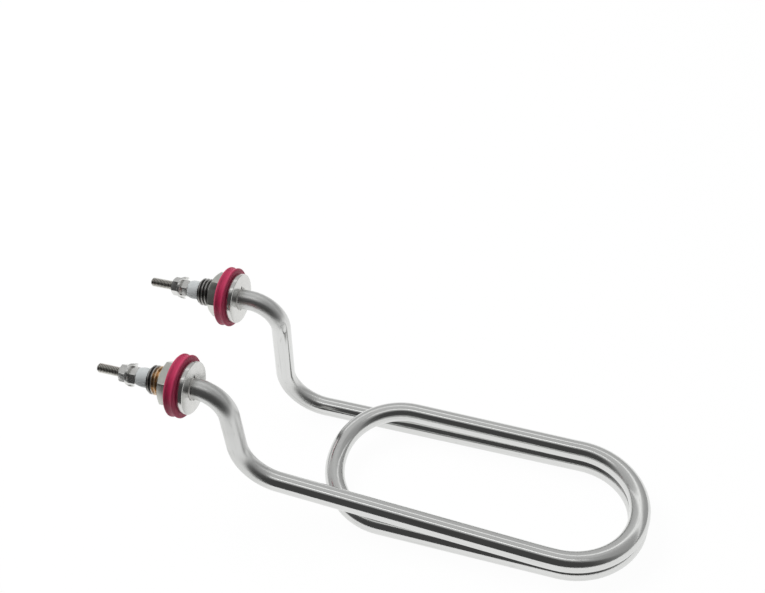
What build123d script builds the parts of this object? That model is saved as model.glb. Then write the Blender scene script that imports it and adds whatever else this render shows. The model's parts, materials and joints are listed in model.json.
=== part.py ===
from build123d import *

import math
import os

# Tubular heating element: one bent sheath tube, wound into a flat double
# hairpin, with a threaded terminal bushing on each end.
#
# Millimetres. +X points along the legs to the coil end, +Y from the front leg
# to the rear leg, +Z up. The origin is under the middle of the part, on the
# surface that the lower turn lies on.

# ---------------------------------------------------------------- driving sizes

# Overall places
COIL_END_TO_FLANGE = 184.7      # outer end of the coil to the rear flange face
TERMINAL_STAGGER = 3.5          # the front flange stands this much nearer the coil
STUD_REACH = 42.7               # flange face to the tip of the stud
TERMINAL_SPACING = 54.4         # between the two terminal axes
TERMINAL_HEIGHT = 65.8          # terminal axes above the surface

# Sheath tube
TUBE_DIAMETER = 8.5
TUBE_WALL = 0.7

# Double hairpin
UPPER_LEG_SPACING = 57.5        # centre to centre, upper turn
LOWER_LEG_SPACING = 56.5        # centre to centre, lower turn
LEG_LENGTH = 74.0               # between the centres of the end bends
TURN_GAP = 0.1                  # air between the two turns at the coil end
LOWER_TURN_SHIFT_Y = 1.9        # the lower turn lies this much behind the upper
FRONT_LEG_RISE = 3.8            # degrees that the upper front leg climbs
REAR_LEG_RISE = 1.15            # degrees that the upper rear leg climbs
KNEE_SETBACK = 4.5              # where the upper legs start to climb
KNEE_RADIUS = 100.0
BEND_FLAT = 0.4                 # straight between the two halves of an end bend

# Risers from the coil to the terminals
UPPER_RISER_RADIUS = 13.0
LOWER_RISER_RADIUS = 18.4
FRONT_RISER_LEAN = 3.2          # lower corner nearer the coil than the upper one
REAR_RISER_LEAN = -3.4          # lower corner under the terminal
FRONT_STRAIGHT = 0.8            # straight tube outside the front flange
REAR_STRAIGHT = 4.0             # straight tube outside the rear flange

# Heating core
COIL_DIAMETER = 4.2             # outside of the resistance winding

# Bushing, brazed on the tube
FLANGE_DIAMETER = 21.5
FLANGE_THICKNESS = 2.6
FLANGE_EDGE = 0.35
THREAD_DIAMETER = 12.0          # M12
THREAD_END = 18.7               # flange face to the end of the thread
THREAD_CHAMFER = 0.9
RELIEF_DEPTH = 0.9              # groove where the thread runs out
RELIEF_WIDTH = 1.6
BRAZE_GAP = 0.05                # bushing bore around the tube
BRAZE_FILLET = 0.7
BRAZE_HOLLOW = 0.25             # how far the middle of the fillet stands off its corner

# Gasket
GASKET_DIAMETER = 25.6
GASKET_THICKNESS = 4.6
GASKET_FIT = 0.25               # gasket bore around the thread
GASKET_GROOVE = 0.55            # depth of the groove round the rim, at its sides
GASKET_GROOVE_SAG = 0.14        # how much deeper it is in the middle
GASKET_LIP = 1.0                # width of each rim lip
GASKET_CROWN = 0.5              # rounding of the rim corners

# Bushing nut
BUSHING_NUT_ACROSS_FLATS = 17.0
BUSHING_NUT_THICKNESS = 4.8
NUT_FIT = 0.04                  # nut bores around their threads

# Ceramic insulator
INSULATOR_DIAMETER = 8.0
INSULATOR_TIP_DIAMETER = 7.4
INSULATOR_HEAD = 5.5
INSULATOR_TAPER = 1.8           # length of the tapered end of the head
INSULATOR_SPIGOT = 5.0
INSULATOR_EDGE = 0.4
INSULATOR_FIT = 0.12            # around the pin, and inside the tube

# End seal behind the insulator
SEAL_LENGTH = 4.0

# Terminal pin and its fasteners
STUD_DIAMETER = 4.0             # M4
STUD_CHAMFER = 0.6
STUD_NUT_ACROSS_FLATS = 7.0
STUD_NUT_THICKNESS = 3.2
NUT_CHAMFER_ANGLE = 30.0
WASHER_DIAMETER = 9.0
WASHER_THICKNESS = 0.8
WASHER_FIT = 0.15
SADDLE_DIAMETER = 9.8
SADDLE_THICKNESS = 0.5
SADDLE_EAR_RADIUS = 1.0
SADDLE_EAR_ANGLE = 75.0
SADDLE_EAR_TIP = 0.7
SADDLE_EAR_CLEARANCE = 0.25     # ears to the corners of the inner nut

# How far each fastener was left turned about its stud, in degrees
BUSHING_NUT_TURN = {"front": 13, "rear": 43}
INNER_NUT_TURN = {"front": 20, "rear": 13}
OUTER_NUT_TURN = {"front": 13, "rear": 43}
SADDLE_TURN = {"front": 43, "rear": 43}

# ---------------------------------------------------------------- derived places

tube_radius = TUBE_DIAMETER / 2
tube_bore_radius = tube_radius - TUBE_WALL
stud_radius = STUD_DIAMETER / 2
thread_radius = THREAD_DIAMETER / 2
flange_radius = FLANGE_DIAMETER / 2

coil_end_x = (COIL_END_TO_FLANGE + STUD_REACH) / 2
rear_flange_x = coil_end_x - COIL_END_TO_FLANGE
flange_x = {"front": rear_flange_x + TERMINAL_STAGGER, "rear": rear_flange_x}
terminal_y = {"front": -TERMINAL_SPACING / 2, "rear": TERMINAL_SPACING / 2}

upper_bend_radius = (UPPER_LEG_SPACING - BEND_FLAT) / 2
lower_bend_radius = (LOWER_LEG_SPACING - BEND_FLAT) / 2
upper_y = UPPER_LEG_SPACING / 2
lower_front_y = LOWER_TURN_SHIFT_Y - LOWER_LEG_SPACING / 2
lower_rear_y = LOWER_TURN_SHIFT_Y + LOWER_LEG_SPACING / 2
crossover_radius = (upper_y - lower_front_y - BEND_FLAT) / 2

lower_z = tube_radius
upper_z = lower_z + TUBE_DIAMETER + TURN_GAP
coil_corner_x = coil_end_x - tube_radius
near_centre_x = coil_corner_x - upper_y
far_corner_x = near_centre_x - LEG_LENGTH - crossover_radius
knee_x = near_centre_x - KNEE_SETBACK

# Each terminal is built at the origin with its axis along +Z, from the flange
# face out to the tip of the stud, and then laid along -X at its own end.
gasket_start = FLANGE_THICKNESS
bushing_nut_start = gasket_start + GASKET_THICKNESS
insulator_end = THREAD_END + INSULATOR_HEAD
inner_nut_start = insulator_end
saddle_start = inner_nut_start + STUD_NUT_THICKNESS
washer_start = saddle_start + SADDLE_THICKNESS
outer_nut_start = washer_start + WASHER_THICKNESS
seal_end = THREAD_END - INSULATOR_SPIGOT
seal_start = seal_end - SEAL_LENGTH


def front_leg_height(x):
    """Height of the upper front leg, which climbs away from the knee."""
    return upper_z + (knee_x - x) * math.tan(math.radians(FRONT_LEG_RISE))


def rear_leg_height(x):
    """Height of the upper rear leg."""
    return upper_z + (knee_x - x) * math.tan(math.radians(REAR_LEG_RISE))


# ---------------------------------------------------------------- the tube's path

def riser_corners(end, leg_y, leg_height, lean, straight):
    """Upper and lower corner of a riser; its straight run ends at the flange."""
    lower_z_here = leg_height(flange_x[end] + UPPER_RISER_RADIUS + lean)
    drop = Vector(-lean, terminal_y[end] - leg_y, TERMINAL_HEIGHT - lower_z_here)
    turn = math.radians(drop.get_angle(Vector(-1, 0, 0)))
    upper_x = flange_x[end] + straight + UPPER_RISER_RADIUS * math.tan(turn / 2)
    lower_x = upper_x + lean
    upper = Vector(upper_x, terminal_y[end], TERMINAL_HEIGHT)
    lower = Vector(lower_x, leg_y, leg_height(lower_x))
    return upper, lower


def on_axis(end, height):
    """The point on a terminal's axis at this height above its flange face."""
    return Vector(flange_x[end] - height, terminal_y[end], TERMINAL_HEIGHT)


def tube_corners():
    """Corners of the tube's centreline and their bend radii, front to rear."""
    front_upper, front_lower = riser_corners(
        "front", -upper_y, front_leg_height, FRONT_RISER_LEAN, FRONT_STRAIGHT)
    rear_upper, rear_lower = riser_corners(
        "rear", lower_rear_y, lambda x: lower_z, REAR_RISER_LEAN, REAR_STRAIGHT)
    return [
        (on_axis("front", THREAD_END), None),
        (front_upper, UPPER_RISER_RADIUS),
        (front_lower, LOWER_RISER_RADIUS),
        (Vector(knee_x, -upper_y, upper_z), KNEE_RADIUS),
        (Vector(coil_corner_x, -upper_y, upper_z), upper_bend_radius),
        (Vector(coil_corner_x, upper_y, upper_z), upper_bend_radius),
        (Vector(knee_x, upper_y, upper_z), KNEE_RADIUS),
        (Vector(far_corner_x, upper_y, rear_leg_height(far_corner_x)), crossover_radius),
        (Vector(far_corner_x, lower_front_y, lower_z), crossover_radius),
        (Vector(coil_corner_x, lower_front_y, lower_z), lower_bend_radius),
        (Vector(coil_corner_x, lower_rear_y, lower_z), lower_bend_radius),
        (rear_lower, LOWER_RISER_RADIUS),
        (rear_upper, UPPER_RISER_RADIUS),
        (on_axis("rear", THREAD_END), None),
    ]


def rounded_path(corners):
    """Straight runs joined by tangent arcs, as a list of edges."""
    edges = []
    here = corners[0][0]
    for index in range(1, len(corners) - 1):
        corner, radius = corners[index]
        back = (corners[index - 1][0] - corner).normalized()
        ahead = (corners[index + 1][0] - corner).normalized()
        half_angle = math.radians(back.get_angle(ahead)) / 2
        reach = radius / math.tan(half_angle)
        arc_start = corner + back * reach
        arc_end = corner + ahead * reach
        inward = (back + ahead).normalized()
        arc_middle = corner + inward * (radius / math.sin(half_angle) - radius)
        edges.append(Line(here, arc_start))
        edges.append(ThreePointArc(arc_start, arc_middle, arc_end))
        here = arc_end
    edges.append(Line(here, corners[-1][0]))
    return edges


def sweep_along(edges, outer_radius, inner_radius=None):
    """A round bar or tube along a list of edges."""
    path = Wire([edge.edge() for edge in edges])
    section = Circle(outer_radius)
    if inner_radius is not None:
        section -= Circle(inner_radius)
    return sweep(Plane(path @ 0, z_dir=path % 0) * section, path=path)


path_edges = rounded_path(tube_corners())

# The cold pins run through the terminal, the upper riser bend and the riser;
# the resistance winding fills the tube from one lower riser bend to the other.
_, front_bend, front_riser, *hot_path, rear_riser, rear_bend, _ = path_edges


def front_cold_path(start_height):
    """The front pin's path, from this height above the flange face inwards."""
    return [Line(on_axis("front", start_height), front_bend @ 0), front_bend, front_riser]


def rear_cold_path(end_height):
    """The rear pin's path, out to this height above the flange face."""
    return [rear_riser, rear_bend, Line(rear_bend @ 1, on_axis("rear", end_height))]


def place(end, piece):
    """Lay a piece made on the +Z axis along its terminal's own axis."""
    return Location(on_axis(end, 0), (0, -90, 0)) * piece


# ---------------------------------------------------------------- pieces

def ring(outer_radius, inner_radius, start, length):
    """A plain ring on the terminal's axis."""
    face = Circle(outer_radius) - Circle(inner_radius)
    return Pos(0, 0, start) * extrude(face, length)


def revolve_profile(points):
    """Turn a closed outline of (radius, height) points round the terminal's axis."""
    outline = Polyline([(r, 0, z) for r, z in points], close=True)
    return revolve(make_face(outline), Axis.Z)


def hex_nut(across_flats, thickness, bore_radius, start):
    """A hexagon nut with both faces chamfered to a circle."""
    blank = extrude(RegularPolygon(across_flats / 2, 6, major_radius=False), thickness)
    corner_radius = across_flats / 2 / math.cos(math.pi / 6)
    drop = (corner_radius - across_flats / 2) * math.tan(math.radians(NUT_CHAMFER_ANGLE))
    flat_radius = across_flats / 2
    envelope = revolve_profile([
        (0, 0),
        (flat_radius, 0),
        (corner_radius, drop),
        (corner_radius, thickness - drop),
        (flat_radius, thickness),
        (0, thickness),
    ])
    bore = extrude(Circle(bore_radius), thickness)
    return Pos(0, 0, start) * (blank & envelope - bore)


def sheath_tube():
    return sweep_along(path_edges, tube_radius, tube_bore_radius)


def insulating_powder():
    """Packed powder between the tube and the pins and winding."""
    hot = sweep_along(hot_path, tube_bore_radius, COIL_DIAMETER / 2)
    front = sweep_along(front_cold_path(seal_start), tube_bore_radius, stud_radius)
    rear = sweep_along(rear_cold_path(seal_start), tube_bore_radius, stud_radius)
    return hot + front + rear


def resistance_coil():
    """Outer envelope of the wound resistance wire."""
    return sweep_along(hot_path, COIL_DIAMETER / 2)


def terminal_pin(path):
    """Cold pin: bent shank inside the tube, straight threaded stud outside."""
    pin = sweep_along(path, stud_radius)
    tip = pin.edges().filter_by(GeomType.CIRCLE).sort_by(Axis.X)[0]
    return chamfer(tip, STUD_CHAMFER)


def end_seal():
    return ring(tube_bore_radius, stud_radius, seal_start, SEAL_LENGTH)


def insulator():
    """Ceramic bush: a head on the end of the tube and a spigot inside it."""
    bore = stud_radius + INSULATOR_FIT
    spigot = tube_bore_radius - INSULATOR_FIT
    head = INSULATOR_DIAMETER / 2
    tip = INSULATOR_TIP_DIAMETER / 2
    return revolve_profile([
        (bore, seal_end),
        (spigot, seal_end),
        (spigot, THREAD_END),
        (head - INSULATOR_EDGE / 2, THREAD_END),
        (head, THREAD_END + INSULATOR_EDGE),
        (head, insulator_end - INSULATOR_TAPER),
        (tip, insulator_end - INSULATOR_EDGE / 2),
        (tip - INSULATOR_EDGE / 2, insulator_end),
        (bore, insulator_end),
    ])


def bushing():
    """Flange and thread in one turned piece."""
    bore = tube_radius + BRAZE_GAP
    root = thread_radius - RELIEF_DEPTH
    relief_end = FLANGE_THICKNESS + RELIEF_WIDTH
    return revolve_profile([
        (bore, 0),
        (flange_radius - FLANGE_EDGE, 0),
        (flange_radius, FLANGE_EDGE),
        (flange_radius, FLANGE_THICKNESS - FLANGE_EDGE),
        (flange_radius - FLANGE_EDGE, FLANGE_THICKNESS),
        (root, FLANGE_THICKNESS),
        (root, relief_end),
        (thread_radius, relief_end + RELIEF_DEPTH),
        (thread_radius, THREAD_END - THREAD_CHAMFER),
        (thread_radius - THREAD_CHAMFER, THREAD_END),
        (bore, THREAD_END),
    ])


def braze_ring():
    """Small hollow fillet of braze in the corner of tube and flange face."""
    corner = (tube_radius, 0, 0)
    low = (tube_radius, 0, -BRAZE_FILLET)
    high = (tube_radius + BRAZE_GAP + BRAZE_FILLET, 0, 0)
    hollow = (tube_radius + BRAZE_HOLLOW, 0, -BRAZE_HOLLOW)
    outline = Line(corner, low) + ThreePointArc(low, hollow, high) + Line(high, corner)
    return revolve(make_face(outline), Axis.Z)


def gasket():
    """Thick soft ring with a shallow groove round its rim."""
    bore = thread_radius + GASKET_FIT
    rim = GASKET_DIAMETER / 2
    groove = rim - GASKET_GROOVE
    middle = GASKET_THICKNESS / 2
    start = gasket_start
    end = gasket_start + GASKET_THICKNESS
    edges = Polyline((groove, 0, start + GASKET_LIP + GASKET_GROOVE),
                     (rim, 0, start + GASKET_LIP),
                     (rim, 0, start + GASKET_CROWN),
                     (rim - GASKET_CROWN, 0, start),
                     (bore, 0, start),
                     (bore, 0, end),
                     (rim - GASKET_CROWN, 0, end),
                     (rim, 0, end - GASKET_CROWN),
                     (rim, 0, end - GASKET_LIP),
                     (groove, 0, end - GASKET_LIP - GASKET_GROOVE))
    bottom = (groove - GASKET_GROOVE_SAG, 0, start + middle)
    edges += ThreePointArc(edges @ 1, bottom, edges @ 0)
    return revolve(make_face(edges), Axis.Z)


def saddle_washer():
    """Spring washer whose two ears bend down over the corners of the inner nut."""
    nut_corner = STUD_NUT_ACROSS_FLATS / 2 / math.cos(math.pi / 6)
    inner = SADDLE_EAR_RADIUS - SADDLE_THICKNESS
    centre = Vector(nut_corner + SADDLE_EAR_CLEARANCE - inner, 0, washer_start - SADDLE_EAR_RADIUS)
    end_angle = math.radians(90 - SADDLE_EAR_ANGLE)
    middle_angle = math.radians(90 - SADDLE_EAR_ANGLE / 2)
    out_end = Vector(math.cos(end_angle), 0, math.sin(end_angle))
    out_middle = Vector(math.cos(middle_angle), 0, math.sin(middle_angle))
    tip = Vector(math.sin(end_angle), 0, -math.cos(end_angle)) * SADDLE_EAR_TIP
    outer_start = Vector(centre.X, 0, washer_start)
    inner_start = Vector(centre.X, 0, saddle_start)
    outer_end = centre + out_end * SADDLE_EAR_RADIUS
    inner_end = centre + out_end * inner
    half = make_face([
        Line((0, 0, washer_start), outer_start),
        ThreePointArc(outer_start, centre + out_middle * SADDLE_EAR_RADIUS, outer_end),
        Line(outer_end, outer_end + tip),
        Line(outer_end + tip, inner_end + tip),
        Line(inner_end + tip, inner_end),
        ThreePointArc(inner_end, centre + out_middle * inner, inner_start),
        Line(inner_start, (0, 0, saddle_start)),
        Line((0, 0, saddle_start), (0, 0, washer_start)),
    ])
    strip = extrude(half, SADDLE_DIAMETER / 2, both=True)
    strip += mirror(strip, Plane.YZ)
    blank = ring(SADDLE_DIAMETER / 2, stud_radius + WASHER_FIT, 0, STUD_REACH)
    return strip & blank


def plain_washer():
    return ring(WASHER_DIAMETER / 2, stud_radius + WASHER_FIT, washer_start, WASHER_THICKNESS)


def bushing_nut():
    return hex_nut(BUSHING_NUT_ACROSS_FLATS, BUSHING_NUT_THICKNESS,
                   thread_radius + NUT_FIT, bushing_nut_start)


def stud_nut(start):
    return hex_nut(STUD_NUT_ACROSS_FLATS, STUD_NUT_THICKNESS, stud_radius + NUT_FIT, start)


# ---------------------------------------------------------------- assembly

def terminal_pieces(end):
    """Every turned or stamped piece of one terminal, where it sits, by node name."""
    turned = {
        "end_seal": (end_seal(), 0),
        "insulator": (insulator(), 0),
        "bushing": (bushing(), 0),
        "braze_ring": (braze_ring(), 0),
        "gasket": (gasket(), 0),
        "bushing_nut": (bushing_nut(), BUSHING_NUT_TURN[end]),
        "inner_nut": (stud_nut(inner_nut_start), INNER_NUT_TURN[end]),
        "saddle_washer": (saddle_washer(), SADDLE_TURN[end]),
        "plain_washer": (plain_washer(), 0),
        "outer_nut": (stud_nut(outer_nut_start), OUTER_NUT_TURN[end]),
    }
    return {f"{end}_{name}": place(end, Rot(0, 0, turn) * piece)
            for name, (piece, turn) in turned.items()}


def all_pieces():
    return {
        "sheath_tube": sheath_tube(),
        "insulating_powder": insulating_powder(),
        "resistance_coil": resistance_coil(),
        "front_terminal_pin": terminal_pin(front_cold_path(STUD_REACH)),
        "rear_terminal_pin": terminal_pin(rear_cold_path(STUD_REACH)),
        **terminal_pieces("front"),
        **terminal_pieces("rear"),
    }


if __name__ == "__main__":
    os.makedirs("parts", exist_ok=True)
    for node, piece in all_pieces().items():
        piece.label = node
        export_step(piece, f"parts/{node}.step")
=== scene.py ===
"""Looks of a tubular heating element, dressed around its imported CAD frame.

Metres, in the part's own frame: +X towards the coil end, -X out of the
terminals, +Y from the front leg to the rear leg, +Z up from the surface that
the coil lies on.
"""
import json
import math

import bpy
from mathutils import Matrix, Quaternion, Vector


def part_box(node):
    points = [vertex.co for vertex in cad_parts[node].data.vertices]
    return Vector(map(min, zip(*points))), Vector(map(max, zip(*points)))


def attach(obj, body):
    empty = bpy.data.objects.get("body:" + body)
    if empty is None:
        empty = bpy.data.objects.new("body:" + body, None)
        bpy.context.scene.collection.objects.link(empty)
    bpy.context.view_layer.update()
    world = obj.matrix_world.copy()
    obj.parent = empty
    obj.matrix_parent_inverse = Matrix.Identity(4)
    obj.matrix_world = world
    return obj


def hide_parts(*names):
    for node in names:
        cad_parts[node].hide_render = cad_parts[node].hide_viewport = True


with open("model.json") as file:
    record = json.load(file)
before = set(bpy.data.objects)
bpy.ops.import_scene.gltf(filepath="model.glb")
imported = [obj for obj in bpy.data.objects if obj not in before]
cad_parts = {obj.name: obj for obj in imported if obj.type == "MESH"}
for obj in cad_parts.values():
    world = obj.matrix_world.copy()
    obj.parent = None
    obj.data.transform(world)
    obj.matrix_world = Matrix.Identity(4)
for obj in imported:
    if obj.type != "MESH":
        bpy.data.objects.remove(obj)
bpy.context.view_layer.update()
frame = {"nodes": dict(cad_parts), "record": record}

MM = 0.001
BODY = "root"
ENDS = ("front", "rear")

# ---------------------------------------------------------------- places from the frame

bushing_box = {end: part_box(f"{end}_bushing") for end in ENDS}
terminal = {end: Vector((high.x, (low.y + high.y) / 2, (low.z + high.z) / 2))
            for end, (low, high) in bushing_box.items()}     # middle of each flange face
thread_length = bushing_box["front"][1].x - bushing_box["front"][0].x
stud_reach = terminal["front"].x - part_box("front_terminal_pin")[0].x
coil_end_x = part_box("sheath_tube")[1].x

# ---------------------------------------------------------------- sizes of the bent tube

TUBE_RADIUS = 4.25 * MM
TUBE_WALL = 0.7 * MM
UPPER_LEG_SPACING = 57.5 * MM
LOWER_LEG_SPACING = 56.5 * MM
LEG_LENGTH = 74.0 * MM
TURN_GAP = 0.1 * MM
LOWER_TURN_SHIFT_Y = 1.9 * MM
FRONT_LEG_RISE = math.tan(math.radians(3.8))
REAR_LEG_RISE = math.tan(math.radians(1.15))
KNEE_SETBACK = 4.5 * MM         # the upper legs start to rise this far from their turn
KNEE_RADIUS = 100.0 * MM
BEND_FLAT = 0.4 * MM            # straight left between the two bends of a turn
UPPER_RISER_RADIUS = 13.0 * MM
LOWER_RISER_RADIUS = 18.4 * MM
FRONT_RISER_LEAN = 3.2 * MM
REAR_RISER_LEAN = -3.4 * MM
FRONT_STRAIGHT = 0.8 * MM       # between the riser's upper bend and the flange
REAR_STRAIGHT = 4.0 * MM
TIGHT_BEND = 18.4 * MM          # a bend of this radius or less roughens the tube fully
SHORT_RUN = 45.0 * MM           # a straight run shorter than this is as rough as the bends beside it
BEND_ENTRY = 1 / 3              # share of a bend over which its roughness comes in
BEND_STEP = math.radians(4)     # turn from one ring of a bend to the next

upper_y = UPPER_LEG_SPACING / 2
lower_front_y = LOWER_TURN_SHIFT_Y - LOWER_LEG_SPACING / 2
lower_rear_y = LOWER_TURN_SHIFT_Y + LOWER_LEG_SPACING / 2
upper_bend_radius = (UPPER_LEG_SPACING - BEND_FLAT) / 2
lower_bend_radius = (LOWER_LEG_SPACING - BEND_FLAT) / 2
crossover_radius = (upper_y - lower_front_y - BEND_FLAT) / 2
lower_z = TUBE_RADIUS
upper_z = lower_z + 2 * TUBE_RADIUS + TURN_GAP
coil_corner_x = coil_end_x - TUBE_RADIUS
near_centre_x = coil_corner_x - upper_y
far_corner_x = near_centre_x - LEG_LENGTH - crossover_radius
knee_x = near_centre_x - KNEE_SETBACK

# ---------------------------------------------------------------- sizes of the terminal pieces

FLANGE_RADIUS = 10.75 * MM
FLANGE_THICKNESS = 2.6 * MM
FLANGE_EDGE = 0.35 * MM
BUSHING_THREAD_RADIUS = 6.0 * MM
BUSHING_PITCH = 1.5 * MM
BUSHING_CHAMFER = 0.9 * MM
BUSHING_BORE_RADIUS = 4.3 * MM
RELIEF_DEPTH = 0.95 * MM
RELIEF_WIDTH = 1.6 * MM
STUD_RADIUS = 2.0 * MM
STUD_PITCH = 0.7 * MM
STUD_CHAMFER = 0.6 * MM
STUD_THREAD_LENGTH = 20.0 * MM
SHANK_OVER_THREAD = 0.016 * MM  # the plain shank stands this much over the thread's crests
STUD_OVERLAP = 0.2 * MM         # the thread starts this far inside the shank
GASKET_RADIUS = 12.8 * MM
GASKET_THICKNESS = 4.6 * MM
GASKET_LIP = 1.0 * MM
GROOVE_KEPT = 0.6               # share of the rim groove's depth left once the nut squeezes the gasket

THREAD_CREST = 0.125            # flat of the crest, as a share of the pitch
THREAD_ROOT = 0.25              # flat of the root, as a share of the pitch
THREAD_DEPTH = 0.58             # depth of the thread, as a share of the pitch
THREAD_LEAD_IN = 1.5            # turns wound before the thread's start
THREAD_SPARE = 0.3 * MM         # left past both ends until the thread is cut to its blank
BLANK_OVER_THREAD = 0.02 * MM   # the blank is this much larger than the crests

MERGE_DISTANCE = 0.002 * MM
TRIM_THRESHOLD = 0.0001 * MM    # points this near a cutting plane count as on it

BROKEN_EDGES = (                # node, width of its broken edges, and least turn of an edge in degrees
    ("gasket", 0.18 * MM, 30),
    ("bushing_nut", 0.16 * MM, 20),
    ("insulator", 0.12 * MM, 20),
    ("inner_nut", 0.10 * MM, 20),
    ("outer_nut", 0.10 * MM, 20),
    ("saddle_washer", 0.07 * MM, 40),
    ("plain_washer", 0.08 * MM, 40),
)


# ---------------------------------------------------------------- mesh helpers

def select_only(piece):
    bpy.ops.object.select_all(action="DESELECT")
    piece.select_set(True)
    bpy.context.view_layer.objects.active = piece


def in_edit_mode(piece, *steps):
    """Run mesh operators on all of a piece."""
    select_only(piece)
    bpy.ops.object.mode_set(mode="EDIT")
    bpy.ops.mesh.select_all(action="SELECT")
    for step in steps:
        step()
    bpy.ops.object.mode_set(mode="OBJECT")


def merge_doubles():
    bpy.ops.mesh.remove_doubles(threshold=MERGE_DISTANCE)


def face_outwards():
    bpy.ops.mesh.normals_make_consistent(inside=False)


def add_modifier(piece, kind, **settings):
    """Add a modifier, set it and apply it."""
    select_only(piece)
    modifier = piece.modifiers.new(kind.title(), kind)
    for name, value in settings.items():
        setattr(modifier, name, value)
    bpy.ops.object.modifier_apply(modifier=modifier.name)


def boolean(piece, operation, tool):
    """Cut, join or trim a piece with another one, which is used up."""
    add_modifier(piece, "BOOLEAN", operation=operation, object=tool, solver="EXACT")
    bpy.data.objects.remove(tool)


def bevel_edges(piece, width, angle, segments=2):
    """Round the edges that turn by more than an angle in degrees."""
    add_modifier(piece, "BEVEL", width=width, segments=segments,
                 limit_method="ANGLE", angle_limit=math.radians(angle))


def smooth(piece, angle=40):
    select_only(piece)
    bpy.ops.object.shade_smooth_by_angle(angle=math.radians(angle))


def cylinder(name, radius, start, end, sides=96):
    """A round bar on +Z, from one height to another."""
    bpy.ops.object.select_all(action="DESELECT")
    bpy.ops.mesh.primitive_cylinder_add(
        vertices=sides, radius=radius, depth=end - start, location=(0, 0, (start + end) / 2))
    piece = bpy.context.object
    piece.name = name
    bpy.ops.object.transform_apply(location=True, rotation=True, scale=True)
    return piece


def on_axis(end, height):
    """The point on a terminal's axis at this height above its flange face."""
    return terminal[end] - Vector((height, 0, 0))


def lay_on_terminal(piece, end):
    """Take a piece made on +Z from the flange face and lay it along -X at one end."""
    tip_over = Matrix(((0, 0, -1), (0, 1, 0), (1, 0, 0))).to_4x4()
    piece.data.transform(Matrix.Translation(terminal[end]) @ tip_over)
    piece.data.update()


def copy_piece(piece, name):
    twin = bpy.data.objects.new(name, piece.data.copy())
    bpy.context.scene.collection.objects.link(twin)
    return twin


def grid_sheet(name, columns, rows):
    """A flat sheet of quads; each vertex comes back with its own column and row."""
    bpy.ops.object.select_all(action="DESELECT")
    bpy.ops.mesh.primitive_grid_add(x_subdivisions=columns, y_subdivisions=rows, size=1)
    sheet = bpy.context.object
    sheet.name = name
    cells = [(round((vertex.co.x + 0.5) * columns), round((vertex.co.y + 0.5) * rows))
             for vertex in sheet.data.vertices]
    return sheet, cells


# ---------------------------------------------------------------- the bent tube and pins

def riser_corners(end, leg_y, leg_height, lean, straight):
    """Upper and lower corner of a riser; its straight run ends at the flange."""
    flange = terminal[end]
    rise = flange.z - leg_height(flange.x + UPPER_RISER_RADIUS + lean)
    turn = Vector((-lean, flange.y - leg_y, rise)).angle(Vector((-1, 0, 0)))
    upper = on_axis(end, -straight - UPPER_RISER_RADIUS * math.tan(turn / 2))
    lower_x = upper.x + lean
    return upper, Vector((lower_x, leg_y, leg_height(lower_x)))


def front_leg_height(x):
    return upper_z + (knee_x - x) * FRONT_LEG_RISE


def rear_leg_height(x):
    return upper_z + (knee_x - x) * REAR_LEG_RISE


riser = {
    "front": riser_corners("front", -upper_y, front_leg_height, FRONT_RISER_LEAN, FRONT_STRAIGHT),
    "rear": riser_corners("rear", lower_rear_y, lambda x: lower_z, REAR_RISER_LEAN, REAR_STRAIGHT),
}
front_upper, front_lower = riser["front"]
rear_upper, rear_lower = riser["rear"]

sheath_corners = [              # each corner of the tube's path and the radius of its bend
    (on_axis("front", thread_length), 0),
    (front_upper, UPPER_RISER_RADIUS),
    (front_lower, LOWER_RISER_RADIUS),
    (Vector((knee_x, -upper_y, upper_z)), KNEE_RADIUS),
    (Vector((coil_corner_x, -upper_y, upper_z)), upper_bend_radius),
    (Vector((coil_corner_x, upper_y, upper_z)), upper_bend_radius),
    (Vector((knee_x, upper_y, upper_z)), KNEE_RADIUS),
    (Vector((far_corner_x, upper_y, rear_leg_height(far_corner_x))), crossover_radius),
    (Vector((far_corner_x, lower_front_y, lower_z)), crossover_radius),
    (Vector((coil_corner_x, lower_front_y, lower_z)), lower_bend_radius),
    (Vector((coil_corner_x, lower_rear_y, lower_z)), lower_bend_radius),
    (rear_lower, LOWER_RISER_RADIUS),
    (rear_upper, UPPER_RISER_RADIUS),
    (on_axis("rear", thread_length), 0),
]


def bend_reach(corners, index):
    """How far from its corner a bend starts."""
    (before, _), (corner, radius), (after, _) = corners[index - 1:index + 2]
    turn = (corner - before).angle(after - corner)
    return radius * math.tan(turn / 2)


def bentness(radius):
    """How much a bend of this radius roughens the tube; a bar's end counts as a tight bend."""
    return min(1.0, (TIGHT_BEND / radius) ** 3) if radius else 1.0


def run_bentness(corners, index):
    """How rough the straight run after a corner is."""
    here, radius = corners[index]
    ahead, next_radius = corners[index + 1]
    if (ahead - here).length > SHORT_RUN:
        return 0.0
    return min(bentness(radius), bentness(next_radius))


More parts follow.
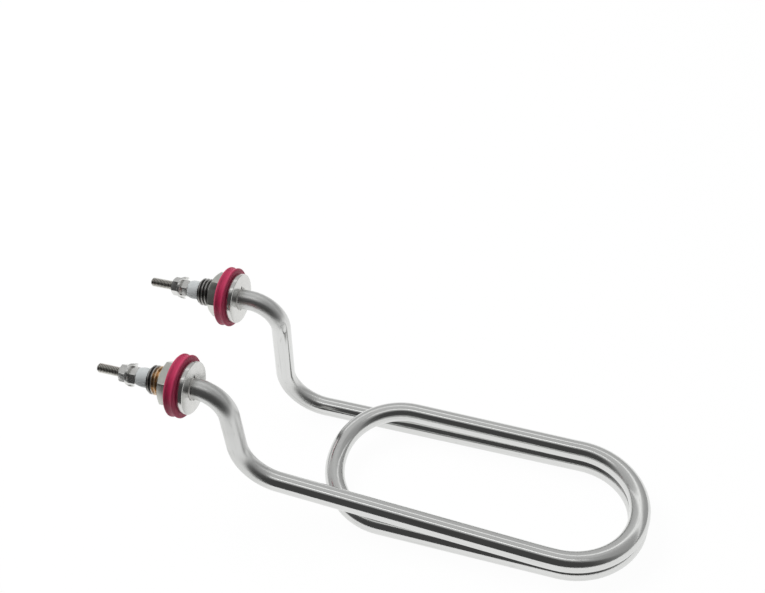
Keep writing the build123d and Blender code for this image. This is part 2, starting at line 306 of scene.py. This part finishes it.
def stations_along(corners):
    """Distance, centre, two cross directions and bentness of each ring along a bent bar."""
    here = corners[0][0]
    heading = (corners[1][0] - here).normalized()
    across = Vector((0, 1, 0))
    travelled = 0.0
    stations = [(travelled, here, across, heading.cross(across), run_bentness(corners, 0))]
    for index in range(1, len(corners) - 1):
        corner, radius = corners[index]
        ahead = (corners[index + 1][0] - corner).normalized()
        turn = heading.angle(ahead)
        axis = heading.cross(ahead).normalized()
        start = corner - heading * bend_reach(corners, index)
        centre = start + axis.cross(heading) * radius
        travelled += (start - here).length
        count = max(2, math.ceil(turn / BEND_STEP))
        entering = run_bentness(corners, index - 1)
        leaving = run_bentness(corners, index)
        for k in range(count + 1):
            part_turn = Quaternion(axis, turn * k / count)
            side = part_turn @ across
            bent = min(bentness(radius), entering + k / count / BEND_ENTRY,
                       leaving + (count - k) / count / BEND_ENTRY)
            stations.append((travelled + radius * turn * k / count,
                             centre + part_turn @ (start - centre),
                             side, (part_turn @ heading).cross(side), bent))
        travelled += radius * turn
        here, heading, across = stations[-1][1], ahead, stations[-1][2]
    stations.append((travelled + (corners[-1][0] - here).length, corners[-1][0],
                     across, heading.cross(across), run_bentness(corners, -2)))
    return stations


def bent_bar(name, corners, radius, around, wall=None):
    """A flat strip rolled round and bent along its corners, hollow or with closed ends.

    The attribute "straight" keeps where each point lay before the bar was bent,
    so that drawing lines follow the tube round its bends, and "bent" is 1 where
    the surface was stretched in a tight bend.
    """
    stations = stations_along(corners)
    bar, cells = grid_sheet(name, len(stations) - 1, around)
    bar.data.attributes.new("straight", "FLOAT_VECTOR", "POINT")
    bar.data.attributes.new("bent", "FLOAT", "POINT")
    straight = bar.data.attributes["straight"].data
    stretched = bar.data.attributes["bent"].data
    for index, (column, row) in enumerate(cells):
        travelled, centre, across, upward, bent = stations[column]
        angle = math.tau * row / around
        side = across * math.cos(angle) + upward * math.sin(angle)
        bar.data.vertices[index].co = centre + side * radius
        straight[index].vector = (travelled, radius * math.cos(angle), radius * math.sin(angle))
        stretched[index].value = bent
    in_edit_mode(bar, merge_doubles, face_outwards)
    if wall:
        add_modifier(bar, "SOLIDIFY", thickness=wall, offset=-1)
    else:
        in_edit_mode(bar, lambda: bpy.ops.mesh.fill_holes(sides=around + 1), face_outwards)
    smooth(bar)
    return bar


# ---------------------------------------------------------------- threaded pieces

def taper_tip(bar, end, chamfer):
    """Cut a 45 degree chamfer on the far end of a round bar."""
    select_only(bar)
    bpy.ops.object.mode_set(mode="EDIT")
    bpy.ops.mesh.select_all(action="DESELECT")
    bpy.ops.object.mode_set(mode="OBJECT")
    for edge in bar.data.edges:
        edge.select = all(bar.data.vertices[v].co.z > end - chamfer / 2 for v in edge.vertices)
    bpy.ops.object.mode_set(mode="EDIT")
    bpy.ops.mesh.select_mode(type="EDGE")
    bpy.ops.mesh.bevel(offset=chamfer, segments=1)
    bpy.ops.object.mode_set(mode="OBJECT")


def screw_thread(name, radius, pitch, start, end, chamfer, around):
    """A threaded bar on +Z: a ribbon of thread profile wound up, trimmed and chamfered."""
    turns = math.ceil((end - start) / pitch) + 2
    root = radius - THREAD_DEPTH * pitch
    flank = (1 - THREAD_CREST - THREAD_ROOT) / 2
    profile = [(0, root), (THREAD_ROOT, root), (THREAD_ROOT + flank, radius),
               (1 - flank, radius), (1, root)]
    ribbon, cells = grid_sheet(name, turns * around, len(profile) - 1)
    for vertex, (column, row) in zip(ribbon.data.vertices, cells):
        share, distance = profile[row]
        angle = math.tau * column / around
        height = start + (column / around + share - THREAD_LEAD_IN) * pitch
        vertex.co = (distance * math.cos(angle), distance * math.sin(angle), height)

    def trim(height, normal):
        bpy.ops.mesh.select_all(action="SELECT")
        bpy.ops.mesh.bisect(plane_co=(0, 0, height), plane_no=(0, 0, normal),
                            use_fill=True, clear_outer=True, threshold=TRIM_THRESHOLD)

    in_edit_mode(ribbon, merge_doubles, lambda: trim(end + THREAD_SPARE, 1),
                 lambda: trim(start - THREAD_SPARE, -1), face_outwards)
    blank = cylinder("blank", radius + BLANK_OVER_THREAD, start, end)
    taper_tip(blank, end, chamfer)
    boolean(ribbon, "INTERSECT", blank)
    return ribbon


def turned_bushing():
    """Flange, run-out groove and thread in one piece, bored for the tube."""
    thread_start = FLANGE_THICKNESS + RELIEF_WIDTH
    body = screw_thread("bushing", BUSHING_THREAD_RADIUS, BUSHING_PITCH,
                        thread_start, thread_length, BUSHING_CHAMFER, 64)
    boolean(body, "UNION", cylinder("neck", BUSHING_THREAD_RADIUS - RELIEF_DEPTH,
                                    FLANGE_THICKNESS / 2, thread_start + BUSHING_PITCH))
    flange = cylinder("flange", FLANGE_RADIUS, 0, FLANGE_THICKNESS, 128)
    bevel_edges(flange, FLANGE_EDGE, 60, segments=3)
    boolean(body, "UNION", flange)
    boolean(body, "DIFFERENCE", cylinder("bore", BUSHING_BORE_RADIUS, -MM, thread_length + MM))
    smooth(body, 30)
    return body


def terminal_pin(end, thread):
    """Bent shank inside the tube, with the threaded stud on its outer end."""
    upper, lower = riser[end]
    reach = bend_reach(sheath_corners, sheath_corners.index((lower, LOWER_RISER_RADIUS)))
    shank_end = lower + (upper - lower).normalized() * reach
    corners = [(on_axis(end, stud_reach - STUD_THREAD_LENGTH), 0),
               (upper, UPPER_RISER_RADIUS), (shank_end, 0)]
    pin = bent_bar(f"{end}_studded_pin", corners, STUD_RADIUS, 32)
    stud = copy_piece(thread, "stud")
    lay_on_terminal(stud, end)
    boolean(pin, "UNION", stud)
    smooth(pin, 30)
    return pin


def softened_copy(node, name, edge, angle):
    """The CAD node's own shape with its edges broken."""
    piece = bpy.data.objects.new(name, frame["nodes"][node].data.copy())
    bpy.context.scene.collection.objects.link(piece)
    in_edit_mode(piece, merge_doubles,
                 lambda: bpy.ops.mesh.dissolve_limited(angle_limit=math.radians(1)), face_outwards)
    bevel_edges(piece, edge, angle)
    smooth(piece, angle)
    return piece


def squeeze_gasket(piece, end):
    """Let the tightened nut press the groove in the gasket's rim shallower."""
    middle = terminal[end].x - FLANGE_THICKNESS - GASKET_THICKNESS / 2
    for vertex in piece.data.vertices:
        offset = vertex.co - terminal[end]
        offset.x = 0
        gap = GASKET_RADIUS - offset.length
        if gap < GASKET_LIP and abs(vertex.co.x - middle) < GASKET_THICKNESS / 2 - GASKET_LIP / 2:
            vertex.co += offset.normalized() * gap * (1 - GROOVE_KEPT)
    piece.data.update()


# ---------------------------------------------------------------- shader helpers

class Wire:
    """A shader output that takes part in ordinary arithmetic."""

    def __init__(self, look, socket):
        self.look = look
        self.socket = socket

    def math(self, operation, first, second=0.0):
        return self.look.node("ShaderNodeMath", {"operation": operation}, {0: first, 1: second})

    def __neg__(self):
        return self.math("SUBTRACT", 0.0, self)

    def __add__(self, other):
        return self.math("ADD", self, other)

    def __radd__(self, other):
        return self.math("ADD", other, self)

    def __sub__(self, other):
        return self.math("SUBTRACT", self, other)

    def __rsub__(self, other):
        return self.math("SUBTRACT", other, self)

    def __mul__(self, other):
        return self.math("MULTIPLY", self, other)

    def __rmul__(self, other):
        return self.math("MULTIPLY", other, self)

    def __truediv__(self, other):
        return self.math("DIVIDE", self, other)

    def __pow__(self, other):
        return self.math("POWER", self, other)

    def absolute(self):
        return self.math("ABSOLUTE", self)

    def arctan2(self, other):
        return self.math("ARCTAN2", self, other)

    def limited(self):
        return self.look.node("ShaderNodeClamp", {}, {"Value": self})

    def between(self, low, high):
        """0 up to low, 1 from high on, and smooth in between; high may be the smaller number."""
        return self.look.node("ShaderNodeMapRange", {"interpolation_type": "SMOOTHSTEP"},
                              {"Value": self, "From Min": low, "From Max": high})


class Look:
    """A node tree with short ways to add nodes."""

    def __init__(self, tree):
        self.tree = tree

    def node(self, kind, settings, sockets, output=0):
        """Add a node, set it, feed its sockets, and give back one of its outputs."""
        made = self.tree.nodes.new(kind)
        for name, value in settings.items():
            setattr(made, name, value)
        for name, value in sockets.items():
            self.feed(made.inputs[name], value)
        return Wire(self, made.outputs[output])

    def feed(self, socket, value):
        if isinstance(value, Wire):
            self.tree.links.new(value.socket, socket)
        else:
            socket.default_value = value

    def coordinates(self, name="Object"):
        return self.node("ShaderNodeTexCoord", {}, {}, name)

    def attribute(self, name, output):
        return self.node("ShaderNodeAttribute", {"attribute_name": name}, {}, output)

    def stretched(self, vector, scale, offset=(0, 0, 0)):
        return self.node("ShaderNodeMapping", {}, {"Vector": vector, "Scale": scale, "Location": offset})

    def noise(self, vector, scale, detail, rough=0.5):
        return self.node("ShaderNodeTexNoise", {}, {
            "Vector": vector, "Scale": scale, "Detail": detail, "Roughness": rough})

    def parts(self, vector):
        """The X, Y and Z of a vector."""
        split = self.node("ShaderNodeSeparateXYZ", {}, {"Vector": vector})
        return [Wire(self, socket) for socket in split.socket.node.outputs]

    def mix(self, amount, first, second):
        """From one colour to another, through the sockets that a Mix node has for colours."""
        return self.node("ShaderNodeMix", {"data_type": "RGBA"}, {0: amount, 6: first, 7: second}, 2)

    def ray(self, kind):
        """1 on rays of one kind."""
        return self.node("ShaderNodeLightPath", {}, {}, f"Is {kind} Ray")

    def bump(self, height, distance, strength, under=None):
        sockets = {"Height": height, "Distance": distance, "Strength": strength}
        if under is not None:
            sockets["Normal"] = under
        return self.node("ShaderNodeBump", {}, sockets)


def flat_distance(first, second):
    """Length of the offset with these two parts."""
    return (first * first + second * second) ** 0.5


def new_look(name, **shader_sockets):
    """A material whose Principled shader has these plain socket values."""
    material = bpy.data.materials.new(name)
    material.use_nodes = True
    look = Look(material.node_tree)
    shader = material.node_tree.nodes["Principled BSDF"]
    for socket, value in shader_sockets.items():
        shader.inputs[socket.replace("_", " ")].default_value = value

    def finish_with(**links):
        for socket, value in links.items():
            look.feed(shader.inputs[socket.replace("_", " ")], value)
        return material

    return look, finish_with


# ---------------------------------------------------------------- colours

def rgb(red, green, blue):
    return (red, green, blue, 1.0)


WHITE = rgb(1, 1, 1)
FLOOR_PALE = rgb(0.93, 0.93, 0.93)
DRAWN_GREY = rgb(0.64, 0.645, 0.635)
DRAWN_BRIGHT = rgb(0.76, 0.765, 0.755)
DRAWN_RUBBED = rgb(0.48, 0.48, 0.47)
DRAWN_LINE = rgb(0.36, 0.36, 0.35)
DRAWN_SATIN = rgb(0.60, 0.605, 0.59)
TURNED_GREY = rgb(0.60, 0.60, 0.58)
TURNED_BRIGHT = rgb(0.74, 0.74, 0.72)
OXIDE_DARK = rgb(0.09, 0.088, 0.085)
OXIDE_LIGHT = rgb(0.22, 0.215, 0.21)
# painted highlight on the thread's crests
OXIDE_CREST_HIGHLIGHT = rgb(0.72, 0.71, 0.69)
BRASS_DARK = rgb(0.36, 0.22, 0.10)
BRASS_LIGHT = rgb(0.80, 0.56, 0.34)
# painted highlight on the brass-coloured thread's crests
BRASS_CREST_HIGHLIGHT = rgb(0.94, 0.76, 0.58)
# black of the flux pits, and of the painted shade in the joint's gap
FLUX_PIT_AND_GAP_SHADE_BLACK = rgb(0.02, 0.018, 0.016)
# painted shade in the stud's thread roots, and painted highlights on its crests
STUD_ROOT_SHADE_DARK = rgb(0.13, 0.125, 0.11)
STUD_ROOT_SHADE_LIGHT = rgb(0.26, 0.25, 0.23)
STUD_CREST_HIGHLIGHT_DARK = rgb(0.66, 0.65, 0.61)
STUD_CREST_HIGHLIGHT_LIGHT = rgb(0.88, 0.87, 0.83)
NICKEL_DARK = rgb(0.54, 0.55, 0.51)
NICKEL_LIGHT = rgb(0.74, 0.745, 0.70)
ZINC_DARK = rgb(0.60, 0.60, 0.585)
ZINC_LIGHT = rgb(0.84, 0.84, 0.82)
PLATING_SPECK = rgb(0.25, 0.24, 0.22)
CRIMSON_DEEP = rgb(0.33, 0.011, 0.055)
CRIMSON_LIGHT = rgb(0.44, 0.022, 0.085)
# paler pink painted on the gasket's rim as its sheen
CRIMSON_RIM_SHEEN = rgb(0.56, 0.13, 0.21)
CERAMIC_DARK = rgb(0.41, 0.435, 0.44)
CERAMIC_LIGHT = rgb(0.52, 0.54, 0.54)
CERAMIC_PORE = rgb(0.34, 0.34, 0.33)
BRAZE_DARK = rgb(0.36, 0.355, 0.34)
BRAZE_LIGHT = rgb(0.54, 0.53, 0.51)
POWDER_DARK = rgb(0.74, 0.73, 0.70)
POWDER_LIGHT = rgb(0.86, 0.85, 0.82)
WINDING_DARK = rgb(0.12, 0.11, 0.10)
WINDING_LIGHT = rgb(0.24, 0.22, 0.20)
SEAL_DARK = rgb(0.60, 0.58, 0.52)
SEAL_LIGHT = rgb(0.72, 0.70, 0.65)

# ---------------------------------------------------------------- finishes

TOOL_MARKS_PER_METRE = 5200.0
BRASS_THREAD_END = 17.2 * MM     # height that the brass-coloured part of the front thread reaches
BRASS_THREAD_FADE = 1.0 * MM
BRASS_THREAD_RAGGED = 1.6 * MM   # most that noise moves its edge
# specks of painted shade, where the joint's shadowed gap shows at the tube's edges
GAP_SHADE_SPECKS = ((1.9 * MM, 4.7 * MM), (-1.7 * MM, -4.7 * MM))  # across and up from the axis
SPECK_REACH = 1.45 * MM         # a speck has faded out this far from its middle
SPECK_FADE = 0.3 * MM
SPECK_RAGGED = 1.6 * MM         # most that noise moves its edge


def terminal_place(look):
    """Where a point lies on its terminal.

    Height above the flange face, distance from the axis, 1 on the front
    terminal, and the offsets from the axis along Y and Z.
    """
    x, y, z = look.parts(look.coordinates())
    on_front = (-y).between(-MM, MM)
    across = y - terminal["rear"].y - on_front * (terminal["front"].y - terminal["rear"].y)
    up = z - terminal["rear"].z
    flange_x = terminal["rear"].x + on_front * (terminal["front"].x - terminal["rear"].x)
    return flange_x - x, flat_distance(across, up), on_front, across, up


def gap_shade_specks(look, across, up):
    """1 in the dark ragged specks beside the tube, painted shade where the joint's shadowed gap shows at
    the tube's edges.
    """
    ragged = look.noise(look.coordinates(), 1500.0, 3.0, 0.6)
    gap_shade = 0.0
    for side, level in GAP_SHADE_SPECKS:
        distance = flat_distance(across - side, up - level) + ragged * SPECK_RAGGED
        gap_shade = gap_shade + (1.0 - distance.between(SPECK_REACH - SPECK_FADE, SPECK_REACH))
    return gap_shade.limited()


def drawn_stainless():
    """Bright drawn tube: fine lines along it, rub marks, and a satin skin in the bends."""
    look, finish_with = new_look("drawn_stainless", Metallic=1.0)
    along = look.attribute("straight", "Vector")
    bent = look.attribute("bent", "Fac")
    fine = look.noise(look.stretched(along, (14, 2600, 2600)), 1.0, 2.0)
    broad = look.noise(look.stretched(along, (9, 420, 420)), 1.0, 3.0)
    cloud = look.noise(along, 95.0, 4.0, 0.6)
    peel = look.noise(along, 1300.0, 2.0)
    line = look.noise(look.stretched(along, (22, 900, 900), (0.3, 0, 0)), 1.0, 2.0).between(0.63, 0.70)
    rub = look.noise(look.stretched(along, (160, 700, 700), (0.4, 0, 0)), 1.0, 3.0).between(0.62, 0.74)
    shade = look.mix(broad, DRAWN_GREY, DRAWN_BRIGHT)
    shade = look.mix(rub * 0.30, shade, DRAWN_RUBBED)
    shade = look.mix(line * (0.18 + 0.25 * bent), shade, DRAWN_LINE)
    shade = look.mix(bent * (0.1 + 0.4 * cloud), shade, DRAWN_SATIN)
    rough = 0.07 + 0.05 * fine + 0.04 * cloud + 0.08 * rub + 0.23 * bent
    drawn = look.bump(fine * 0.6 + broad * 0.4, 0.004 * MM, 0.5)
    return finish_with(Base_Color=shade, Roughness=rough,
                       Normal=look.bump(peel * bent, 0.010 * MM, 0.5, drawn))


def turned_steel():
    """Faced flange with dark specks of painted shade by the tube, and a dark thread, brass-coloured in
    front, with painted highlights on its crests.
    """
    look, finish_with = new_look("turned_steel", Metallic=1.0)
    height, radius, on_front, across, up = terminal_place(look)
    ring = look.node("ShaderNodeCombineXYZ", {}, {
        "X": radius * TOOL_MARKS_PER_METRE, "Y": height * TOOL_MARKS_PER_METRE})
    tool_marks = look.noise(ring, 1.0, 2.0, 0.6)
    cloud = look.noise(look.coordinates(), 320.0, 3.0)
    on_thread = (height - FLANGE_THICKNESS - RELIEF_WIDTH).between(0.0, 0.4 * MM)
    steel = look.mix(cloud, TURNED_GREY, TURNED_BRIGHT)
    # painted shade of the joint's gap, on the flange face only
    gap_shade = gap_shade_specks(look, across, up) * (1.0 - height.between(0.2 * MM, 0.5 * MM))
    steel = look.mix(gap_shade, steel, FLUX_PIT_AND_GAP_SHADE_BLACK)
    # painted highlights on the thread's crests
    crest_highlight = radius.between(BUSHING_THREAD_RADIUS - 0.5 * MM, BUSHING_THREAD_RADIUS - 0.05 * MM)
    oxide = look.mix(cloud, OXIDE_DARK, OXIDE_LIGHT)
    oxide = look.mix(crest_highlight * (0.4 + 0.6 * cloud), oxide, OXIDE_CREST_HIGHLIGHT)
    grain = look.noise(look.coordinates(), 620.0, 2.0)
    ragged = height + grain * BRASS_THREAD_RAGGED
    # the brass-coloured zone of the front thread
    brass_zone = (1.0 - ragged.between(BRASS_THREAD_END - BRASS_THREAD_FADE, BRASS_THREAD_END)) * on_front
    patches = look.noise(look.coordinates(), 480.0, 3.0).between(0.35, 0.65)
    brass = look.mix(patches, BRASS_DARK, BRASS_LIGHT)
    brass = look.mix(crest_highlight * 0.7, brass, BRASS_CREST_HIGHLIGHT)
    shade = look.mix(on_thread, steel, look.mix(brass_zone, oxide, brass))
    rough = 0.16 + 0.1 * tool_marks + 0.12 * on_thread
    return finish_with(Base_Color=shade, Roughness=rough,
                       Normal=look.bump(tool_marks, 0.020 * MM, 0.8))


def dark_stud_steel():
    """Grey-brown steel of the studs, with painted shade down in the thread and painted highlights on its
    crests.
    """
    look, finish_with = new_look("dark_stud_steel", Metallic=1.0)
    _, radius, *_ = terminal_place(look)
    # painted shade in the roots, painted highlights on the crests
    crest_highlight = radius.between(STUD_RADIUS - 0.38 * MM, STUD_RADIUS - 0.08 * MM)
    cloud = look.noise(look.coordinates(), 700.0, 3.0)
    low = look.mix(cloud, STUD_ROOT_SHADE_DARK, STUD_ROOT_SHADE_LIGHT)
    high = look.mix(cloud, STUD_CREST_HIGHLIGHT_DARK, STUD_CREST_HIGHLIGHT_LIGHT)
    return finish_with(Base_Color=look.mix(crest_highlight, low, high), Roughness=0.40 - 0.12 * crest_highlight,
                       Normal=look.bump(cloud, 0.01 * MM, 0.5))


def plated(name, dark, light, rough):
    """Bright plating over stamped or cut steel, slightly uneven."""
    look, finish_with = new_look(name, Metallic=1.0)
    cloud = look.noise(look.coordinates(), 520.0, 3.0, 0.6)
    specks = look.noise(look.coordinates(), 2080.0, 2.0).between(0.66, 0.74)
    shade = look.mix(cloud, dark, light)
    shade = look.mix(specks * 0.4, shade, PLATING_SPECK)
    return finish_with(Base_Color=shade, Roughness=rough + 0.12 * cloud + 0.1 * specks,
                       Normal=look.bump(cloud, 0.012 * MM, 0.5))


def crimson_silicone():
    """Soft moulded silicone: matt skin with a faint grain, and a paler pink painted sheen at the rim."""
    look, finish_with = new_look("crimson_silicone", Specular_IOR_Level=0.45)
    _, radius, *_ = terminal_place(look)
    cloud = look.noise(look.coordinates(), 260.0, 4.0, 0.6)
    grain = look.noise(look.coordinates(), 2400.0, 2.0)
    # painted sheen on the outer rim
    rim_sheen = radius.between(GASKET_RADIUS - 0.5 * MM, GASKET_RADIUS)
    shade = look.mix(cloud, CRIMSON_DEEP, CRIMSON_LIGHT)
    shade = look.mix(rim_sheen * 0.25 * cloud, shade, CRIMSON_RIM_SHEEN)
    return finish_with(Base_Color=shade, Roughness=0.42 + 0.16 * cloud,
                       Normal=look.bump(grain * 0.5 + cloud, 0.03 * MM, 0.5))


def pale_ceramic():
    """Unglazed fired ceramic, faintly grey, with fine pores."""
    look, finish_with = new_look("pale_ceramic", Specular_IOR_Level=0.5)
    cloud = look.noise(look.coordinates(), 420.0, 3.0)
    pores = look.noise(look.coordinates(), 2600.0, 2.0).between(0.64, 0.72)
    shade = look.mix(cloud, CERAMIC_DARK, CERAMIC_LIGHT)
    shade = look.mix(pores * 0.25, shade, CERAMIC_PORE)
    return finish_with(Base_Color=shade, Roughness=0.38 + 0.15 * cloud,
                       Normal=look.bump(cloud - pores, 0.015 * MM, 0.5))


def silver_braze():
    """Smooth braze, with a few dark flux pits against the tube, and painted shade where the joint's gap
    shows at the tube's edges.
    """
    look, finish_with = new_look("silver_braze", Metallic=1.0)
    *_, across, up = terminal_place(look)
    cloud = look.noise(look.coordinates(), 900.0, 3.0)
    pits_and_gap_shade = look.noise(look.coordinates(), 520.0, 1.0).between(0.64, 0.70)
    # the flux pits, with the painted shade of the joint's gap added
    pits_and_gap_shade = (pits_and_gap_shade + gap_shade_specks(look, across, up)).limited()
    shade = look.mix(cloud, BRAZE_DARK, BRAZE_LIGHT)
    shade = look.mix(pits_and_gap_shade, shade, FLUX_PIT_AND_GAP_SHADE_BLACK)
    return finish_with(Base_Color=shade, Roughness=0.25 + 0.4 * pits_and_gap_shade,
                       Normal=look.bump(cloud, 0.02 * MM, 0.6))


def dull_filling(name, dark, light, rough):
    """What lies inside the sheath: packed powder, sealing compound or oxidised winding."""
    look, finish_with = new_look(name)
    cloud = look.noise(look.coordinates(), 800.0, 4.0, 0.6)
    return finish_with(Base_Color=look.mix(cloud, dark, light), Roughness=rough + 0.1 * cloud,
                       Normal=look.bump(cloud, 0.05 * MM, 0.5))


finishes = {
    "stainless_tube": drawn_stainless(),
    "bushing_steel": turned_steel(),
    "pin_steel": dark_stud_steel(),
    "nickel_nut": plated("nickel_plating", NICKEL_DARK, NICKEL_LIGHT, 0.24),
    "zinc_fastener": plated("zinc_plating", ZINC_DARK, ZINC_LIGHT, 0.16),
    "gasket_silicone": crimson_silicone(),
    "ceramic": pale_ceramic(),
    "braze": silver_braze(),
    "magnesium_oxide": dull_filling("magnesium_oxide_powder", POWDER_DARK, POWDER_LIGHT, 0.8),
    "resistance_wire": dull_filling("oxidised_winding", WINDING_DARK, WINDING_LIGHT, 0.5),
    "seal_silicone": dull_filling("sealing_compound", SEAL_DARK, SEAL_LIGHT, 0.45),
}

slot_of = {part["node"]: part["material_slot"] for part in frame["record"]["subparts"]}
for node, cad_object in frame["nodes"].items():
    cad_object.data.materials.clear()
    cad_object.data.materials.append(finishes[slot_of[node]])


def dress(piece, node):
    """Give a finished piece its node's finish and let it stand for that node."""
    piece.data.materials.clear()
    piece.data.materials.append(finishes[slot_of[node]])
    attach(piece, BODY)
    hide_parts(node)


# ---------------------------------------------------------------- the pieces

dress(bent_bar("bent_sheath", sheath_corners, TUBE_RADIUS, 48, TUBE_WALL), "sheath_tube")

bushing_pattern = turned_bushing()
stud_pattern = screw_thread("stud_pattern", STUD_RADIUS - SHANK_OVER_THREAD, STUD_PITCH,
                            stud_reach - STUD_THREAD_LENGTH - STUD_OVERLAP,
                            stud_reach, STUD_CHAMFER, 40)
for end in ENDS:
    bushing = copy_piece(bushing_pattern, f"{end}_turned_bushing")
    lay_on_terminal(bushing, end)
    dress(bushing, f"{end}_bushing")
    dress(terminal_pin(end, stud_pattern), f"{end}_terminal_pin")
    for node, edge, angle in BROKEN_EDGES:
        piece = softened_copy(f"{end}_{node}", f"{end}_{node}_finished", edge, angle)
        if node == "gasket":
            squeeze_gasket(piece, end)
        dress(piece, f"{end}_{node}")
bpy.data.objects.remove(bushing_pattern)
bpy.data.objects.remove(stud_pattern)

# ---------------------------------------------------------------- studio

CAMERA_AZIMUTH = math.radians(19.897)
CAMERA_ELEVATION = math.radians(41.470)
CAMERA_ROLL = math.radians(-2.915)
CAMERA_DISTANCE = 550.75 * MM
CAMERA_TARGET = Vector((-36.07, 110.45, 4.25)) * MM
LENS = 50.03                    # millimetres, as the sensor's width is
SENSOR = 36.0

FLOOR_SIZE = 6.0
FLOOR_FRONT = 0.15              # the pale sheet ends this far out on the camera side
SHADOW_SHARE = 0.03             # how much of the floor's own shading stays under its white

ROOM_LEVEL = 0.46
CEILING_GAIN = 0.08             # the room is lighter overhead,
FAR_SIDE_GAIN = 0.08            # lighter away from the camera side,
RIGHT_SIDE_LOSS = 0.26          # and darker towards +X
UNLIT_LEVEL = 0.065             # the room's light on the camera side
UNLIT_TOP = (57, 69)            # degrees up between which the unlit side ends
FRONT_STRIP = (79, 4)           # degrees up from the front horizon, and half its width
FRONT_STRIP_LEVEL = 1.60
FRONT_STRIP_MIDDLE = -0.13      # along X, in a direction of length 1
FRONT_STRIP_END = (0.28, 0.5)   # how far from its middle it fades out
REAR_STRIP = (126, 6)
REAR_STRIP_LEVEL = 0.85
SOFTBOX_SIZE = 1.0
SOFTBOX_POWER = 22.0
SOFTBOX_PLACE = (-0.9, 0.1, 1.3)


def add_camera():
    """The viewing angle: from the front, a little to the right and well above."""
    back = Vector((math.sin(CAMERA_AZIMUTH) * math.cos(CAMERA_ELEVATION),
                   -math.cos(CAMERA_AZIMUTH) * math.cos(CAMERA_ELEVATION),
                   math.sin(CAMERA_ELEVATION)))
    level_right = Vector((math.cos(CAMERA_AZIMUTH), math.sin(CAMERA_AZIMUTH), 0))
    level_up = back.cross(level_right)
    right = level_right * math.cos(CAMERA_ROLL) + level_up * math.sin(CAMERA_ROLL)
    up = back.cross(right)
    data = bpy.data.cameras.new("camera")
    data.lens = LENS
    data.sensor_width = SENSOR
    data.clip_start = 10 * MM
    camera = bpy.data.objects.new("camera", data)
    bpy.context.scene.collection.objects.link(camera)
    turn = Matrix((right, up, back)).transposed().to_4x4()
    camera.matrix_world = Matrix.Translation(CAMERA_TARGET + back * CAMERA_DISTANCE) @ turn
    bpy.context.scene.camera = camera


def add_floor():
    """A wide pale floor that shows white and keeps the part's soft shadow."""
    bpy.ops.object.select_all(action="DESELECT")
    bpy.ops.mesh.primitive_plane_add(size=FLOOR_SIZE, location=(0, FLOOR_SIZE / 2 - FLOOR_FRONT, 0))
    floor = bpy.context.object
    floor.name = "floor"
    bpy.ops.object.transform_apply(location=True, rotation=True, scale=True)
    material = bpy.data.materials.new("pale_floor")
    material.use_nodes = True
    tree = material.node_tree
    tree.nodes.remove(tree.nodes["Principled BSDF"])
    look = Look(tree)
    matt = look.node("ShaderNodeBsdfDiffuse", {}, {"Color": FLOOR_PALE})
    white = look.node("ShaderNodeEmission", {}, {"Color": WHITE, "Strength": 1.0})
    seen = (look.ray("Camera") + look.ray("Glossy") + look.ray("Transmission")).limited()
    blend = look.node("ShaderNodeMixShader", {}, {0: seen * (1.0 - SHADOW_SHARE), 1: matt, 2: white})
    look.feed(tree.nodes["Material Output"].inputs["Surface"], blend)
    floor.data.materials.append(material)


def light_studio():
    """Soft pale room, dark on the camera side, with two long strips overhead."""
    world = bpy.data.worlds.new("studio")
    bpy.context.scene.world = world
    world.use_nodes = True
    look = Look(world.node_tree)
    x, y, z = look.parts(look.coordinates("Generated"))
    facing = -y / (flat_distance(x, y) + 0.001)       # 1 straight towards the front, -1 to the rear
    height = z.arctan2(-y)                            # turn up from the front horizon, over the top
    below_top = 1.0 - height.between(*map(math.radians, UNLIT_TOP))
    unlit = facing.between(-0.10, 0.85) * below_top

    def strip(middle, half_width):
        """A long soft strip of light parallel to the legs."""
        off = (height - math.radians(middle)).absolute()
        return 1.0 - off.between(0.0, math.radians(half_width))

    room = ROOM_LEVEL + CEILING_GAIN * z + FAR_SIDE_GAIN * facing.between(0.2, -0.9)
    room = room * (1.0 - RIGHT_SIDE_LOSS * x.between(-0.15, 0.6))
    from_middle = (x - FRONT_STRIP_MIDDLE).absolute()
    front_strip = strip(*FRONT_STRIP) * (1.0 - from_middle.between(*FRONT_STRIP_END))
    lit = room + FRONT_STRIP_LEVEL * front_strip + REAR_STRIP_LEVEL * strip(*REAR_STRIP)
    radiance = lit - (lit - UNLIT_LEVEL) * unlit
    seen = look.ray("Camera")
    background = world.node_tree.nodes["Background"]
    look.feed(background.inputs["Color"], WHITE)
    look.feed(background.inputs["Strength"], radiance * (1.0 - seen) + seen)

    data = bpy.data.lights.new("overhead_softbox", "AREA")
    data.shape = "DISK"
    data.size = SOFTBOX_SIZE
    data.energy = SOFTBOX_POWER
    lamp = bpy.data.objects.new("overhead_softbox", data)
    lamp.location = SOFTBOX_PLACE
    lamp.rotation_euler = Vector(SOFTBOX_PLACE).to_track_quat("Z", "Y").to_euler()
    lamp.visible_glossy = False
    bpy.context.scene.collection.objects.link(lamp)


add_camera()
add_floor()
light_studio()
bpy.context.scene.view_settings.view_transform = "Standard"
